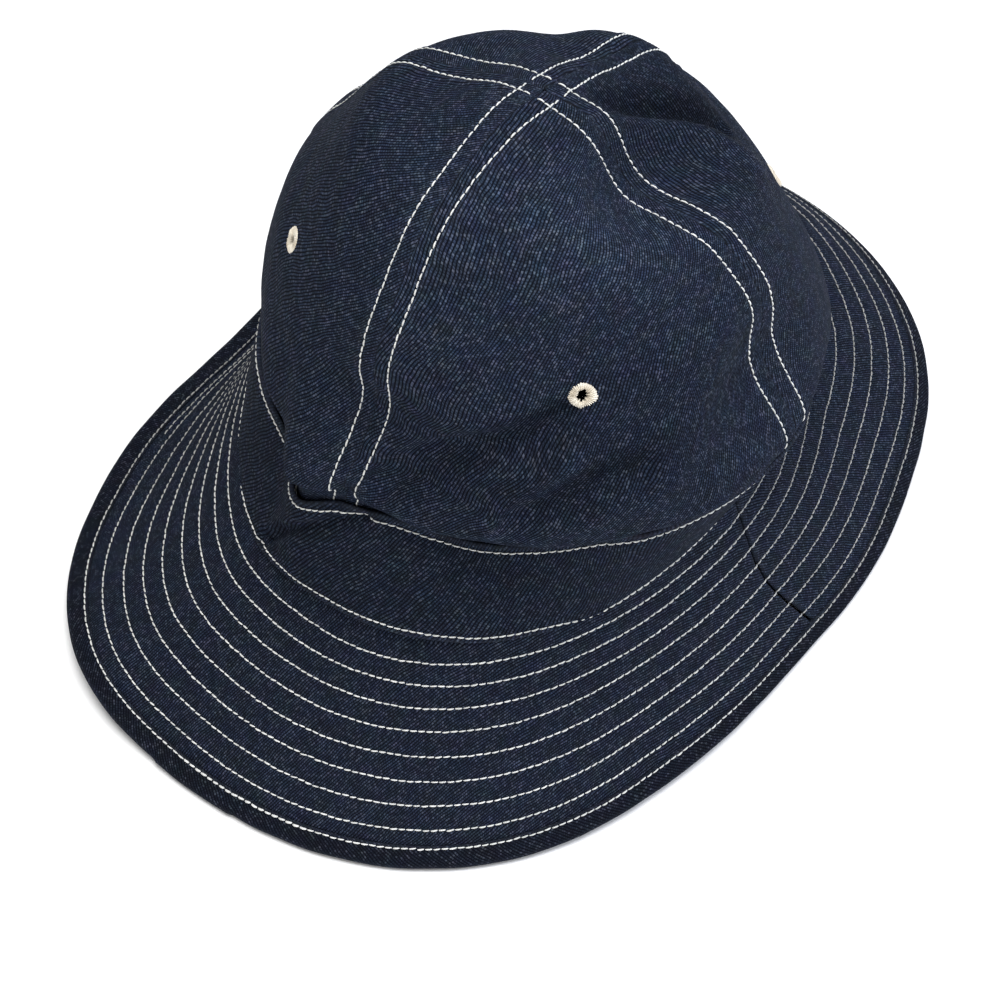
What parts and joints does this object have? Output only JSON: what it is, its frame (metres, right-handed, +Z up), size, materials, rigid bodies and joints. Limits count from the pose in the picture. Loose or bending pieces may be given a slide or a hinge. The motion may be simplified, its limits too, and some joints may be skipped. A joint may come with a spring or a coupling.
{
  "type": "army hat",
  "caption": "Soft army hat: four-panel cloth crown with air holes, upright band and wide stitched brim with a bound edge.",
  "frame": {"origin": "middle of the hat's bounding box, on the surface that the brim rests on", "axes": "+Z up, -Y towards the front of the hat, +X towards the wearer's left"},
  "size_m": [0.2218, 0.303, 0.1907],
  "materials": {
    "denim": "matte twill",
    "binding_denim": "matte twill",
    "eyelet_thread": "matte thread"
  },
  "bodies": {
    "root": {"crown_panel_front_left": "denim", "crown_panel_back_left": "denim", "crown_panel_back_right": "denim", "crown_panel_front_right": "denim", "side_band": "denim", "brim": "denim", "brim_binding": "binding_denim", "eyelet_front_left": "eyelet_thread", "eyelet_back_left": "eyelet_thread", "eyelet_back_right": "eyelet_thread", "eyelet_front_right": "eyelet_thread"}
  },
  "joints": []
}
